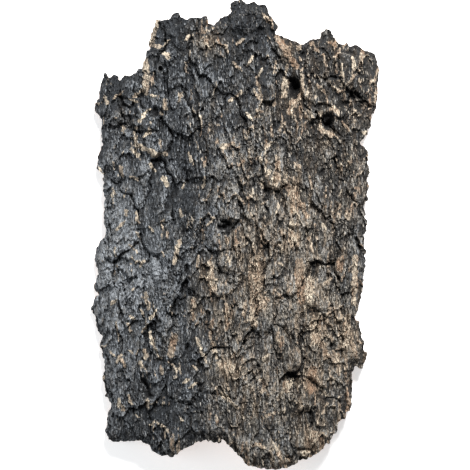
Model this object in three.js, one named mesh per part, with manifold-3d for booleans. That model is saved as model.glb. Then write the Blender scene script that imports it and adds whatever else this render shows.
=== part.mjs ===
// A slab of virgin cork bark, as stripped from the trunk: one piece, lying rough side up.
//
// Millimetres, +Z up. The slab lies on z = 0 with its length along Y and its outline centred on
// the origin. It keeps the bend of the trunk, so it arches across X and rests on three low spots
// of its two long margins. The outer face is raised by formulas: the bend, the plates of bark with
// the fissures between them, the named flakes that stand proud and the pits.

import * as THREE from "three";
import { mergeVertices } from "three/addons/utils/BufferGeometryUtils.js";
import Module from "manifold-3d";

// Driving dimensions
const WIDTH = 288;
const LENGTH = 468;
const HALF_WIDTH = WIDTH / 2;
const OUTER_RISE = 32; // height of the outer face's bend, margin to crown
const MARGIN_THICKNESS = 13; // of the bark at its long margins, before the edge rolls off
const INNER_RISE = 24; // height of the hollow under the bend
const INNER_HALF_SPAN = 100; // of the hollow, to where its curve would meet the ground
const FOOT_BLEND = 4; // softens the hollow's run-out into the margins
const INNER_WAVE = 3; // most that the inner face wanders up from its smooth bend

const EDGE_ROLL = 13; // distance over which the broken edge rolls off
const EDGE_DROP = 6; // how far it rolls down
const EDGE_RELIEF = 0.35; // share of the relief that is left at the edge

const PLATE_WIDTH = 25; // of a bark plate, across the grain
const PLATE_LENGTH = 50; // along the grain
const PLATE_WANDER = 13; // how far the fissures wander from straight
const PLATE_STEP = 5.5; // most that one plate stands above another
const PLATE_TILT = 5; // most that a plate rises from its middle to its edge
const PLATE_CROWN = 2.5; // height of a plate's rounded middle
const FISSURE_DEPTH = 6.5;
const FISSURE_SHARE = 0.34; // of a plate's half width that slopes into the fissure
const LUMP_HEIGHT = 2.2; // crumbly lumps on top of the plates
const LUMP_SIZE = 15;

const GRID_X = 4.4; // spacing of the outer face's points across the grain
const GRID_Y = 6.4; // along the grain
const INNER_GRID_X = 9.6;
const INNER_GRID_Y = 16;

// Three flat spots that carry the slab, by their middles
const REST_SPOTS = [
  { x: -119, y: -110 },
  { x: -119, y: 85 },
  { x: 118, y: 0 },
];
const REST_HALF_WIDTH = 10;
const REST_HALF_LENGTH = 24;
const REST_FADE = 18; // distance over which the inner face lifts away from a spot

// The broken outline, clockwise from the left shoulder
const LEFT_SHOULDER = [
  [-140, 125], [-137, 138], [-136, 147], [-133, 158], [-130, 162], [-126, 159], [-121, 162],
  [-116, 155], [-111, 160], [-106, 158], [-101, 162], [-93, 166],
];
const UPPER_LEFT_BLOCK = [
  [-90, 175], [-86, 186], [-84, 195], [-79, 215], [-66, 214], [-62, 219], [-57, 220], [-54, 215],
  [-28, 216], [-26, 211], [-21, 208], [-15, 215], [-6, 218],
];
const CROWN_BLOCK = [
  [-3, 222], [-5, 229], [-1, 234], [7, 233], [11, 229], [21, 231], [30, 228], [32, 221], [37, 214],
  [41, 207], [40, 200],
];
const UPPER_RIGHT_DIP = [
  [48, 196], [62, 190], [69, 189], [76, 195], [86, 196], [86, 202], [90, 206], [94, 205], [98, 199],
  [101, 192], [107, 191], [111, 193], [115, 188], [122, 190], [127, 186], [136, 185], [141, 180],
];
const RIGHT_MARGIN = [
  [143, 174], [144, 160], [143, 140], [142, 127], [138, 120], [135, 109], [132, 101], [125, 94],
  [130, 87], [133, 76], [135, 65], [133, 57], [135, 48], [132, 36], [129, 28], [132, 14], [129, 0],
  [131, -29], [126, -64], [120, -82], [125, -91], [129, -103], [130, -115], [132, -123], [128, -135],
  [121, -131], [117, -142], [118, -155], [115, -176],
];
const LOWER_RIGHT_CORNER = [
  [111, -177], [110, -184], [102, -187], [101, -194], [97, -204], [88, -213], [78, -220], [72, -224],
  [63, -225], [55, -230], [42, -234], [27, -232], [15, -229], [8, -224], [3, -217],
];
const BOTTOM_EDGE = [
  [-7, -209], [-11, -204], [-21, -205], [-31, -202], [-38, -205], [-45, -210], [-53, -213],
  [-57, -217], [-64, -220], [-73, -219], [-83, -215], [-87, -208], [-94, -206], [-113, -206],
  [-120, -208], [-126, -204],
];
const LEFT_MARGIN = [
  [-130, -196], [-129, -191], [-127, -179], [-125, -169], [-129, -162], [-132, -151], [-132, -142],
  [-130, -133], [-132, -120], [-134, -111], [-133, -102], [-138, -96], [-140, -86], [-144, -75],
  [-141, -65], [-138, -60], [-140, -52], [-137, -40], [-142, -24], [-139, -13], [-131, -3],
  [-129, 7], [-132, 18], [-130, 31], [-132, 50], [-134, 64], [-139, 67], [-136, 80], [-133, 93],
  [-134, 105], [-132, 116], [-137, 119],
];
const OUTLINE = [
  ...LEFT_SHOULDER,
  ...UPPER_LEFT_BLOCK,
  ...CROWN_BLOCK,
  ...UPPER_RIGHT_DIP,
  ...RIGHT_MARGIN,
  ...LOWER_RIGHT_CORNER,
  ...BOTTOM_EDGE,
  ...LEFT_MARGIN,
].map(([x, y]) => new THREE.Vector2(x, y));

// Flakes that stand proud: middle, half sizes across and along, turn, rise, and the side that lifts
const FLAKES = [
  { x: -78, y: 101, across: 15, along: 26, turn: 8, rise: 6, lift: -70 }, // hooked, upper left
  { x: -99, y: 67, across: 16, along: 11, turn: 0, rise: 4, lift: -100 }, // oval below it
  { x: -65, y: -104, across: 16, along: 21, turn: -8, rise: 5, lift: 200 }, // round, lower left
  { x: -113, y: -127, across: 7, along: 8, turn: 0, rise: 4, lift: 100 },
  { x: 57, y: -123, across: 9, along: 14, turn: -5, rise: 5, lift: -90 }, // dark disc, lower right
  { x: 85, y: -177, across: 9, along: 14, turn: 0, rise: 5, lift: 180 }, // with the crescent beside it
  { x: 85, y: -57, across: 17, along: 18, turn: 0, rise: 4, lift: -90 }, // over the long crack
  { x: -10, y: -38, across: 18, along: 24, turn: -20, rise: 4.5, lift: -50 },
  { x: 24, y: -40, across: 13, along: 22, turn: 0, rise: 4.5, lift: 90 },
  { x: 26, y: 132, across: 15, along: 27, turn: 6, rise: 3.5, lift: 0 },
  { x: 107, y: 165, across: 15, along: 19, turn: -10, rise: 5, lift: 20 },
  { x: 14, y: 214, across: 20, along: 16, turn: 0, rise: 4, lift: 90 }, // knobs of the crown
  { x: -66, y: 190, across: 13, along: 22, turn: -6, rise: 4, lift: -90 },
  { x: -105, y: 144, across: 11, along: 11, turn: 0, rise: 4, lift: 60 },
];
const FLAKE_SHOULDER = 0.3; // share of a flake's half size over which it drops to the bark round it
const FLAKE_SLOPE = 0.4; // share of a flake's rise by which its lifted side stands above its middle

// Pits: middle, half sizes across and along, and depth
const PITS = [
  { x: 57, y: 150, across: 7, along: 11, depth: 13 }, // knot hole, upper right
  { x: 93, y: 116, across: 8, along: 8, depth: 12 }, // knot hole below it
  { x: -9, y: 7, across: 7, along: 7, depth: 11 }, // insect hole in the middle
  { x: -80, y: 122, across: 8, along: 6, depth: 7 },
  { x: -93, y: 139, across: 6, along: 6, depth: 6 },
  { x: 78, y: -33, across: 8, along: 10, depth: 6 },
  { x: 59, y: -137, across: 7, along: 6, depth: 6 },
  { x: 75, y: -178, across: 5, along: 13, depth: 6 },
  { x: 109, y: 129, across: 7, along: 5, depth: 6 },
  { x: 68, y: 180, across: 8, along: 6, depth: 6 },
];

const PIT_FLOOR = 0.35; // share of a pit's half size that is its flat floor
const PIT_RIM = 1.15; // share at which its wall meets the bark

const BARK_COLOUR = 0x47423d;
const BARK_ROUGHNESS = 0.95;

// Seeded random number from 0 to 1 for one point of an endless lattice
function lattice(i, j, seed) {
  let h = Math.imul(i, 374761393) + Math.imul(j, 668265263) + Math.imul(seed, 974634777);
  h = Math.imul(h ^ (h >>> 13), 1274126177);
  h = Math.imul(h ^ (h >>> 15), 846736849);
  return ((h ^ (h >>> 16)) >>> 0) / 4294967296;
}

// Smooth noise from -1 to 1, with one swell to a unit of x and y
function noise(x, y, seed) {
  const i = Math.floor(x);
  const j = Math.floor(y);
  const u = THREE.MathUtils.smootherstep(x - i, 0, 1);
  const v = THREE.MathUtils.smootherstep(y - j, 0, 1);
  const low = THREE.MathUtils.lerp(lattice(i, j, seed), lattice(i + 1, j, seed), u);
  const high = THREE.MathUtils.lerp(lattice(i, j + 1, seed), lattice(i + 1, j + 1, seed), u);
  return 2 * THREE.MathUtils.lerp(low, high, v) - 1;
}

// Distance from the outline, positive inside it
function depthInside(x, y) {
  let nearest = Infinity;
  let inside = false;
  for (let n = 0, last = OUTLINE.length - 1; n < OUTLINE.length; last = n, n += 1) {
    const a = OUTLINE[last];
    const b = OUTLINE[n];
    const dx = b.x - a.x;
    const dy = b.y - a.y;
    const along = ((x - a.x) * dx + (y - a.y) * dy) / (dx * dx + dy * dy);
    const t = THREE.MathUtils.clamp(along, 0, 1);
    nearest = Math.min(nearest, Math.hypot(x - a.x - t * dx, y - a.y - t * dy));
    if (a.y > y !== b.y > y && x < a.x + (dx * (y - a.y)) / dy) inside = !inside;
  }
  return inside ? nearest : -nearest;
}

// Bark plates: long cells that wander with the grain, each with its own height and lean
function plates(x, y) {
  const u = (x + PLATE_WANDER * noise(x / 55, y / 80, 11)) / PLATE_WIDTH;
  const v = (y + PLATE_WANDER * noise(x / 40, y / 60, 12)) / PLATE_LENGTH;
  const column = Math.floor(u);
  const row = Math.floor(v);
  let nearest = { distance: Infinity };
  let second = Infinity;
  for (let i = column - 1; i <= column + 1; i += 1) {
    for (let j = row - 1; j <= row + 1; j += 1) {
      const du = u - i - lattice(i, j, 1);
      const dv = v - j - lattice(i, j, 2);
      const distance = Math.hypot(du, dv);
      if (distance < nearest.distance) {
        second = nearest.distance;
        nearest = { distance, du, dv, i, j };
      } else if (distance < second) {
        second = distance;
      }
    }
  }
  const { i, j, du, dv, distance } = nearest;
  const step = PLATE_STEP * (lattice(i, j, 3) - 0.5);
  const lean = PLATE_TILT * ((lattice(i, j, 4) - 0.5) * du + (lattice(i, j, 5) - 0.5) * dv);
  const crown = PLATE_CROWN * (1 - Math.min(1, distance));
  const fissure = 1 - THREE.MathUtils.smoothstep(second - distance, 0, FISSURE_SHARE);
  return step + lean + crown - FISSURE_DEPTH * fissure;
}

// Place of a point in an oval, as a share of its half sizes, in the oval's own turned frame
function inOval(x, y, oval) {
  const turn = THREE.MathUtils.degToRad(oval.turn ?? 0);
  const dx = x - oval.x;
  const dy = y - oval.y;
  return new THREE.Vector2(
    (dx * Math.cos(turn) + dy * Math.sin(turn)) / oval.across,
    (dy * Math.cos(turn) - dx * Math.sin(turn)) / oval.along,
  );
}

function flakes(x, y) {
  return FLAKES.reduce((height, flake) => {
    const place = inOval(x, y, flake);
    const lift = THREE.MathUtils.degToRad(flake.lift);
    const towardsLift = place.x * Math.cos(lift) + place.y * Math.sin(lift);
    const lifted = 1 - FLAKE_SLOPE + FLAKE_SLOPE * towardsLift;
    const cover = 1 - THREE.MathUtils.smoothstep(place.length(), 1 - FLAKE_SHOULDER, 1);
    return Math.max(height, flake.rise * lifted * cover);
  }, 0);
}

function pits(x, y) {
  return PITS.reduce((depth, pit) => {
    const cover = 1 - THREE.MathUtils.smoothstep(inOval(x, y, pit).length(), PIT_FLOOR, PIT_RIM);
    return Math.max(depth, pit.depth * cover);
  }, 0);
}

function outerHeight(x, y) {
  const bend = MARGIN_THICKNESS + OUTER_RISE * (1 - (x / HALF_WIDTH) ** 2);
  const inward = THREE.MathUtils.smoothstep(depthInside(x, y), 0, EDGE_ROLL);
  const lumps = LUMP_HEIGHT * noise(x / LUMP_SIZE, y / LUMP_SIZE, 21);
  const relief = plates(x, y) + flakes(x, y) + lumps - pits(x, y);
  const kept = THREE.MathUtils.lerp(EDGE_RELIEF, 1, inward);
  return bend + relief * kept - EDGE_DROP * (1 - inward);
}

// The inner face: the hollow of the bend, level at the rest spots and a little wavy elsewhere
function innerHeight(x, y) {
  const curve = INNER_RISE * (1 - (x / INNER_HALF_SPAN) ** 2);
  const softened = Math.max(0, curve + FOOT_BLEND) ** 2 / (4 * FOOT_BLEND);
  const hollow = curve > FOOT_BLEND ? curve : softened;
  const clear = REST_SPOTS.map((spot) => {
    const beyondX = (Math.abs(x - spot.x) - REST_HALF_WIDTH) / REST_FADE;
    const beyondY = (Math.abs(y - spot.y) - REST_HALF_LENGTH) / REST_FADE;
    return THREE.MathUtils.clamp(Math.max(beyondX, beyondY), 0, 1);
  });
  const wave = INNER_WAVE * (0.6 + 0.4 * noise(x / 60, y / 90, 31));
  return hollow + wave * Math.min(...clear);
}

const wasm = await Module();
wasm.setup();

function toSolid(geometry) {
  const bare = geometry.clone();
  bare.deleteAttribute("normal");
  bare.deleteAttribute("uv");
  const merged = mergeVertices(bare, 1e-4);
  return new wasm.Manifold(
    new wasm.Mesh({
      numProp: 3,
      vertProperties: merged.attributes.position.array,
      triVerts: new Uint32Array(merged.index.array),
    }),
  );
}

function toGeometry(solid) {
  const mesh = solid.getMesh();
  const geometry = new THREE.BufferGeometry();
  geometry.setAttribute("position", new THREE.BufferAttribute(mesh.vertProperties, 3));
  geometry.setIndex(new THREE.BufferAttribute(mesh.triVerts, 1));
  geometry.computeVertexNormals();
  return geometry;
}

// A block wider than the slab, flat below at the given level and shaped above by a height formula
function blockUnder(heightAt, base, gridX, gridY) {
  const overhang = 4;
  const columns = Math.round((WIDTH + 2 * overhang) / gridX);
  const rows = Math.round((LENGTH + 2 * overhang) / gridY);
  const block = new THREE.BoxGeometry(
    WIDTH + 2 * overhang,
    LENGTH + 2 * overhang,
    1,
    columns,
    rows,
    1,
  );
  const place = block.attributes.position;
  for (let n = 0; n < place.count; n += 1) {
    const top = place.getZ(n) > 0;
    place.setZ(n, top ? heightAt(place.getX(n), place.getY(n)) : base);
  }
  return toSolid(block);
}

function outlinePrism() {
  const below = 10;
  const above = 90;
  const prism = new THREE.ExtrudeGeometry(new THREE.Shape(OUTLINE), {
    depth: below + above,
    bevelEnabled: false,
  });
  prism.translate(0, 0, -below);
  return toSolid(prism);
}

function corkBark() {
  const slab = blockUnder(outerHeight, -5, GRID_X, GRID_Y).intersect(outlinePrism());
  const hollow = blockUnder(innerHeight, -20, INNER_GRID_X, INNER_GRID_Y);
  const mesh = new THREE.Mesh(
    toGeometry(slab.subtract(hollow)),
    new THREE.MeshStandardMaterial({
      color: BARK_COLOUR,
      roughness: BARK_ROUGHNESS,
      metalness: 0,
      flatShading: true,
    }),
  );
  mesh.name = "cork_bark";
  return mesh;
}

const part = new THREE.Group();
part.name = "cork_bark_slab";
part.add(corkBark());

export default part;
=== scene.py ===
"""A slab of virgin cork bark, rough side up, on a pale floor.

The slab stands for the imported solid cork_bark and has its outline, its bend, the hollow under it and its
larger flakes. The plates are more ragged here, there are more pits, and finer bark, cracks and bare cork
are added. Formulas work in millimetres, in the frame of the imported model: the length lies along Y and the
slab rests on z = 0. Each noise has a seed of its own, the last number of its call.
"""

import math
from typing import NamedTuple

import bmesh
import bpy
import numpy as np
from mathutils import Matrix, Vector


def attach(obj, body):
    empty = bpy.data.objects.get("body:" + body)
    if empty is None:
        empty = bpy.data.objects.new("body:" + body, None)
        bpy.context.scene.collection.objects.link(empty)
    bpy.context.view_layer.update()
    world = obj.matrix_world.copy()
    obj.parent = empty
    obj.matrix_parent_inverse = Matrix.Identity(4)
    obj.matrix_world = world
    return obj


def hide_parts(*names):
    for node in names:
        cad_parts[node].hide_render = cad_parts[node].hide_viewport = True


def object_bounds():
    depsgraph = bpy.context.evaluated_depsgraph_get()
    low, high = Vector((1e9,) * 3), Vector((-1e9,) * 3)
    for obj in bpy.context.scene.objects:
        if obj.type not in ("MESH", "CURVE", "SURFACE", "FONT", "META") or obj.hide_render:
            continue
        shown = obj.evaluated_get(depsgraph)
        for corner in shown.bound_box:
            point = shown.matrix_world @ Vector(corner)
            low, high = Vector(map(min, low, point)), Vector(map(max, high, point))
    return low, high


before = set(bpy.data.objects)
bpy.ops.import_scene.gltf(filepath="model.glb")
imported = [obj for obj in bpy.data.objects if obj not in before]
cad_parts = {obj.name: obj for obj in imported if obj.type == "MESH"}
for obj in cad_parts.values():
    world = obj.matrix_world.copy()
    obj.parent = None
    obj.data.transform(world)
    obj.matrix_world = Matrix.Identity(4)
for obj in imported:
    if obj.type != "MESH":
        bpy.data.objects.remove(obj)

bl_info = {
    "name": "Cork bark slab",
    "version": (1, 0, 0),
    "blender": (4, 5, 0),
    "location": "View3D > Sidebar > Cork bark",
    "description": "Models a slab of virgin cork bark and the studio it lies in",
    "category": "Add Mesh",
}

CAD_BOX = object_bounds()
NODE = "cork_bark"
PIECE = "cork_bark_slab"
BODY = "root"
MM = 0.001


def half_extent(axis):
    """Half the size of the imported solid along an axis, in millimetres."""
    return round((CAD_BOX[1][axis] - CAD_BOX[0][axis]) / (2 * MM), 1)


# Form of the slab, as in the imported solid

HALF_WIDTH = half_extent(0)
HALF_LENGTH = half_extent(1)
OUTER_RISE = 32.0
MARGIN_THICKNESS = 13.0
INNER_RISE = 24.0
INNER_HALF_SPAN = 100.0
FOOT_BLEND = 4.0
INNER_WAVE = 3.0
EDGE_ROLL = 13.0
EDGE_DROP = 6.0
EDGE_RELIEF = 0.35
LUMP_SIZE = 15.0

REST_SPOTS = ((-119, -110), (-119, 85), (118, 0))
REST_HALF_WIDTH = 10.0
REST_HALF_LENGTH = 24.0
REST_FADE = 18.0

# The broken outline, clockwise from the left shoulder
LEFT_SHOULDER = (
    (-140, 125), (-137, 138), (-136, 147), (-133, 158), (-130, 162), (-126, 159), (-121, 162),
    (-116, 155), (-111, 160), (-106, 158), (-101, 162), (-93, 166),
)
UPPER_LEFT_BLOCK = (
    (-90, 175), (-86, 186), (-84, 195), (-79, 215), (-66, 214), (-62, 219), (-57, 220), (-54, 215),
    (-28, 216), (-26, 211), (-21, 208), (-15, 215), (-6, 218),
)
CROWN_BLOCK = (
    (-3, 222), (-5, 229), (-1, 234), (7, 233), (11, 229), (21, 231), (30, 228), (32, 221), (37, 214),
    (41, 207), (40, 200),
)
UPPER_RIGHT_DIP = (
    (48, 196), (62, 190), (69, 189), (76, 195), (86, 196), (86, 202), (90, 206), (94, 205), (98, 199),
    (101, 192), (107, 191), (111, 193), (115, 188), (122, 190), (127, 186), (136, 185), (141, 180),
)
RIGHT_MARGIN = (
    (143, 174), (144, 160), (143, 140), (142, 127), (138, 120), (135, 109), (132, 101), (125, 94),
    (130, 87), (133, 76), (135, 65), (133, 57), (135, 48), (132, 36), (129, 28), (132, 14), (129, 0),
    (131, -29), (126, -64), (120, -82), (125, -91), (129, -103), (130, -115), (132, -123), (128, -135),
    (121, -131), (117, -142), (118, -155), (115, -176),
)
LOWER_RIGHT_CORNER = (
    (111, -177), (110, -184), (102, -187), (101, -194), (97, -204), (88, -213), (78, -220), (72, -224),
    (63, -225), (55, -230), (42, -234), (27, -232), (15, -229), (8, -224), (3, -217),
)
BOTTOM_EDGE = (
    (-7, -209), (-11, -204), (-21, -205), (-31, -202), (-38, -205), (-45, -210), (-53, -213),
    (-57, -217), (-64, -220), (-73, -219), (-83, -215), (-87, -208), (-94, -206), (-113, -206),
    (-120, -208), (-126, -204),
)
LEFT_MARGIN = (
    (-130, -196), (-129, -191), (-127, -179), (-125, -169), (-129, -162), (-132, -151), (-132, -142),
    (-130, -133), (-132, -120), (-134, -111), (-133, -102), (-138, -96), (-140, -86), (-144, -75),
    (-141, -65), (-138, -60), (-140, -52), (-137, -40), (-142, -24), (-139, -13), (-131, -3),
    (-129, 7), (-132, 18), (-130, 31), (-132, 50), (-134, 64), (-139, 67), (-136, 80), (-133, 93),
    (-134, 105), (-132, 116), (-137, 119),
)
OUTLINE = (
    LEFT_SHOULDER + UPPER_LEFT_BLOCK + CROWN_BLOCK + UPPER_RIGHT_DIP
    + RIGHT_MARGIN + LOWER_RIGHT_CORNER + BOTTOM_EDGE + LEFT_MARGIN
)


class Flake(NamedTuple):
    """A flake that stands proud: middle, half sizes, turn, rise and the side that lifts, in degrees."""
    x: float
    y: float
    across: float
    along: float
    turn: float
    rise: float
    lift: float


FLAKES = tuple(Flake(*row) for row in (
    (-78, 101, 15, 26, 8, 6, -70), (-99, 67, 16, 11, 0, 4, -100), (-65, -104, 16, 21, -8, 5, 200),
    (-113, -127, 7, 8, 0, 4, 100), (57, -123, 9, 14, -5, 5, -90), (85, -177, 9, 14, 0, 5, 180),
    (85, -57, 17, 18, 0, 4, -90), (-10, -38, 18, 24, -20, 4.5, -50), (24, -40, 13, 22, 0, 4.5, 90),
    (26, 132, 15, 27, 6, 3.5, 0), (107, 165, 15, 19, -10, 5, 20), (14, 214, 20, 16, 0, 4, 90),
    (-66, 190, 13, 22, -6, 4, -90), (-105, 144, 11, 11, 0, 4, 60),
))
FLAKE_SHOULDER = 0.16
FLAKE_SLOPE = 0.4


class Pit(NamedTuple):
    """A hole or sunken spot: middle, half sizes and depth."""
    x: float
    y: float
    across: float
    along: float
    depth: float


PITS = tuple(Pit(*row) for row in (
    (59, 147, 6, 12.5, 14), (92, 113, 7.5, 8, 14), (-9, 7, 8, 7, 13), (-80, 122, 8, 6, 7),
    (-93, 139, 6, 6, 6), (78, -33, 8, 10, 6), (59, -137, 7, 6, 6), (75, -178, 5, 13, 6),
    (109, 129, 7, 5, 6), (68, 180, 8, 6, 6), (17, 67, 5, 5, 5), (31, 45, 3, 4, 5),
    (-126, 27, 5, 2.5, 5), (98, -111, 4, 4, 6), (10, -106, 3, 3, 6), (87, 63, 5, 4, 5),
    (-87, -156, 8, 9, 6), (15, 215, 6, 5, 5), (25, 200, 7, 6, 5), (5, 202, 5, 4, 4),
))
PIT_FLOOR = 0.3
PIT_RIM = 1.25


class Crack(NamedTuple):
    """A dark crack or a soft furrow along a straight run, with its width and depth."""
    x0: float
    y0: float
    x1: float
    y1: float
    width: float
    depth: float


CRACKS = tuple(Crack(*row) for row in (
    # Furrows along the grain
    (-43, 168, -47, 95, 10, 2.5), (-47, 60, -50, -55, 10, 2.5), (-38, -160, -30, -200, 9, 2.5),
    (8, 190, 10, 130, 8, 2), (50, 90, 47, 30, 7, 2), (98, 60, 100, 5, 8, 2),
    # Upper left
    (-78, 181, -70, 184, 3, 4), (-63, 181, -59, 174, 3, 3), (-70, 172, -66, 142, 5, 3),
    (-118, 138, -108, 135, 3, 4), (-99, 140, -92, 123, 3, 4), (-24, 139, -37, 119, 3.5, 5),
    (-52, 147, -44, 141, 3, 3), (-62, 92, -70, 78, 4.5, 5), (-70, 78, -82, 74, 4.5, 5),
    (-49, 102, -45, 88, 3, 3), (-44, 110, -30, 101, 4, 3), (-94, 55, -85, 61, 3.5, 4),
    (-75, 8, -62, 16, 3, 4), (-33, 25, -26, 32, 2.5, 4), (-47, -8, -31, -11, 1.8, 3),
    # Lower left
    (-116, -23, -115, -39, 3, 4), (-54, -38, -57, -52, 3, 4), (-53, -65, -45, -57, 3, 4),
    (-45, -57, -31, -63, 3, 4), (-69, -60, -72, -72, 2.5, 3), (-30, -91, -21, -99, 3, 4),
    (-48, -110, -56, -125, 4.5, 5), (-84, -115, -88, -133, 4, 4), (-90, -145, -85, -160, 7, 5),
    (-63, -148, -61, -162, 3, 3), (-55, -165, -37, -173, 4, 3), (-83, -197, -75, -212, 3, 4),
    (-130, -120, -124, -142, 3, 3), (-100, -172, -103, -190, 3, 3),
    # Middle
    (-13, -14, 4, -13, 2, 3), (23, -14, 33, -13, 2, 3), (8, 143, 17, 134, 3, 3), (12, 57, 18, 48, 2, 3),
    (22, -98, 10, -105, 2.5, 3), (5, -150, 22, -138, 2.5, 4), (18, -60, 24, -72, 2, 3),
    (35, -60, 45, -70, 2.5, 3), (-20, -128, -5, -116, 2, 3),
    # Upper right
    (37, 183, 44, 175, 4, 4), (44, 175, 51, 175, 4, 3), (65, 177, 74, 187, 4, 4),
    (74, 187, 81, 180, 3, 4), (90, 184, 94, 175, 3, 4), (111, 187, 119, 180, 3, 3),
    (78, 137, 85, 127, 3, 4), (119, 145, 114, 132, 3.5, 4), (98, 72, 112, 73, 3, 4),
    (103, 79, 106, 70, 3, 4), (54, 94, 56, 84, 2.5, 3), (31, 68, 42, 70, 2.5, 3),
    # Lower right
    (82, 36, 86, 26, 3.5, 5), (73, -28, 84, -26, 3.5, 5), (84, -27, 92, -42, 2.5, 4),
    (100, -8, 107, -20, 3.5, 5), (124, -10, 126, -21, 3, 4), (80, -75, 94, -75, 3, 5),
    (53, -135, 59, -141, 3.5, 5), (59, -141, 69, -124, 3.5, 5), (78, -168, 74, -178, 3.5, 6),
    (74, -178, 76, -189, 3.5, 6), (55, -203, 60, -216, 3, 4), (92, -161, 104, -166, 2.5, 4),
    (59, -142, 60, -165, 2.5, 3), (48, -56, 58, -68, 2.5, 3), (44, -88, 56, -84, 2, 3),
))
CRACK_FLOOR = 0.1
CRACK_RIM = 0.55


class Scar(NamedTuple):
    """Bare cork along a straight run where bark has flaked off: its width and how pale it is."""
    x0: float
    y0: float
    x1: float
    y1: float
    width: float
    pale: float


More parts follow.
